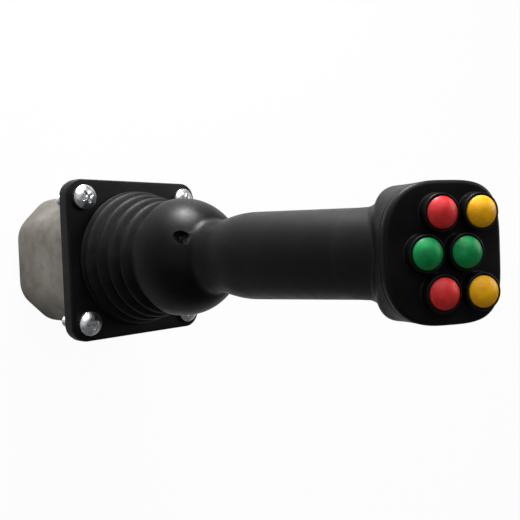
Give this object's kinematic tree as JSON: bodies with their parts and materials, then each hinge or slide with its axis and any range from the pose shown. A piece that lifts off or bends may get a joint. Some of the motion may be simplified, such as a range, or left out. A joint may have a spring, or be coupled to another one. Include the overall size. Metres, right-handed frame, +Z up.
{
  "type": "industrial joystick",
  "caption": "Panel-mounted two-axis joystick: metal can under a square flange, rubber bellows, flared palm grip and a sloping head with coloured push buttons.",
  "frame": {"origin": "centre of the four mounting screws, on the plane where the flange's gasket meets the panel", "axes": "+Z up along the lever away from the panel, +X to the operator's right, the buttons face -Y and +Z"},
  "size_m": [0.08, 0.08, 0.2553],
  "materials": {
    "black_plastic": "fine matte moulded",
    "black_rubber": "satin",
    "can_metal": "satin",
    "zinc_plated": "bright zinc",
    "steel": "machined",
    "cast_metal": "die cast",
    "bronze": "sintered",
    "circuit_board": "solder mask",
    "nylon": "matte",
    "red_cap": "satin",
    "yellow_cap": "satin",
    "green_cap": "satin"
  },
  "bodies": {
    "base": {"housing_can": "can_metal", "can_screws": "steel", "cable_grommet": "black_rubber", "flange_gasket": "black_rubber", "flange_plate": "black_plastic", "mounting_screws": "zinc_plated", "frame_screws": "zinc_plated", "bearing_frame": "cast_metal", "frame_bushes": "bronze", "x_return_spring": "steel", "x_sensor_board": "circuit_board", "sensor_pillars": "steel", "upper_posts": "steel", "gate_plate": "steel", "lower_posts": "steel", "control_board": "circuit_board", "board_header": "nylon", "board_posts": "steel", "rubber_bellows": "black_rubber"},
    "gimbal": {"gimbal_ring": "cast_metal", "gimbal_axles": "zinc_plated", "x_magnet": "zinc_plated", "pin_bushes": "bronze", "y_return_spring": "steel", "y_sensor_board": "circuit_board", "y_sensor_pillars": "steel"},
    "stick": {"lever_tube": "zinc_plated", "lever_hub": "steel", "cross_pin": "zinc_plated", "y_magnet": "zinc_plated", "tail_ball": "nylon", "bellows_collar": "black_plastic", "lower_grip_bush": "steel", "upper_grip_bush": "nylon", "grip_handle": "black_plastic", "set_screw": "steel", "head_housing": "black_plastic", "lever_washer": "zinc_plated", "lever_nut": "zinc_plated", "button_panel": "black_plastic", "panel_screws": "steel", "button_switches": "black_plastic", "switch_nuts": "zinc_plated", "switch_board": "circuit_board"},
    "left_red_button": {"left_red_button": "red_cap"},
    "left_yellow_button": {"left_yellow_button": "yellow_cap"},
    "lower_green_button": {"lower_green_button": "green_cap"},
    "upper_green_button": {"upper_green_button": "green_cap"},
    "right_red_button": {"right_red_button": "red_cap"},
    "right_yellow_button": {"right_yellow_button": "yellow_cap"}
  },
  "joints": [
    {"name": "fore_aft_tilt", "type": "hinge", "parent": "base", "child": "gimbal", "pos_m": [0, 0, -0.016], "axis": [1, 0, 0], "range_deg": [-18, 18], "stiffness_Nm_per_rad": 2.5, "deforming": ["x_return_spring", "rubber_bellows"]},
    {"name": "side_tilt", "type": "hinge", "parent": "gimbal", "child": "stick", "pos_m": [0, 0, -0.016], "axis": [0, 1, 0], "range_deg": [-18, 18], "stiffness_Nm_per_rad": 2.5, "deforming": ["y_return_spring"]},
    {"name": "left_red_press", "type": "slide", "parent": "stick", "child": "left_red_button", "axis": [0, 0.5299, -0.848], "range_m": [0, 0.002], "stiffness_N_per_m": 600, "springref_m": -0.002},
    {"name": "left_yellow_press", "type": "slide", "parent": "stick", "child": "left_yellow_button", "axis": [0, 0.5299, -0.848], "range_m": [0, 0.002], "stiffness_N_per_m": 600, "springref_m": -0.002},
    {"name": "lower_green_press", "type": "slide", "parent": "stick", "child": "lower_green_button", "axis": [0, 0.5299, -0.848], "range_m": [0, 0.002], "stiffness_N_per_m": 600, "springref_m": -0.002},
    {"name": "upper_green_press", "type": "slide", "parent": "stick", "child": "upper_green_button", "axis": [0, 0.5299, -0.848], "range_m": [0, 0.002], "stiffness_N_per_m": 600, "springref_m": -0.002},
    {"name": "right_red_press", "type": "slide", "parent": "stick", "child": "right_red_button", "axis": [0, 0.5299, -0.848], "range_m": [0, 0.002], "stiffness_N_per_m": 600, "springref_m": -0.002},
    {"name": "right_yellow_press", "type": "slide", "parent": "stick", "child": "right_yellow_button", "axis": [0, 0.5299, -0.848], "range_m": [0, 0.002], "stiffness_N_per_m": 600, "springref_m": -0.002}
  ]
}
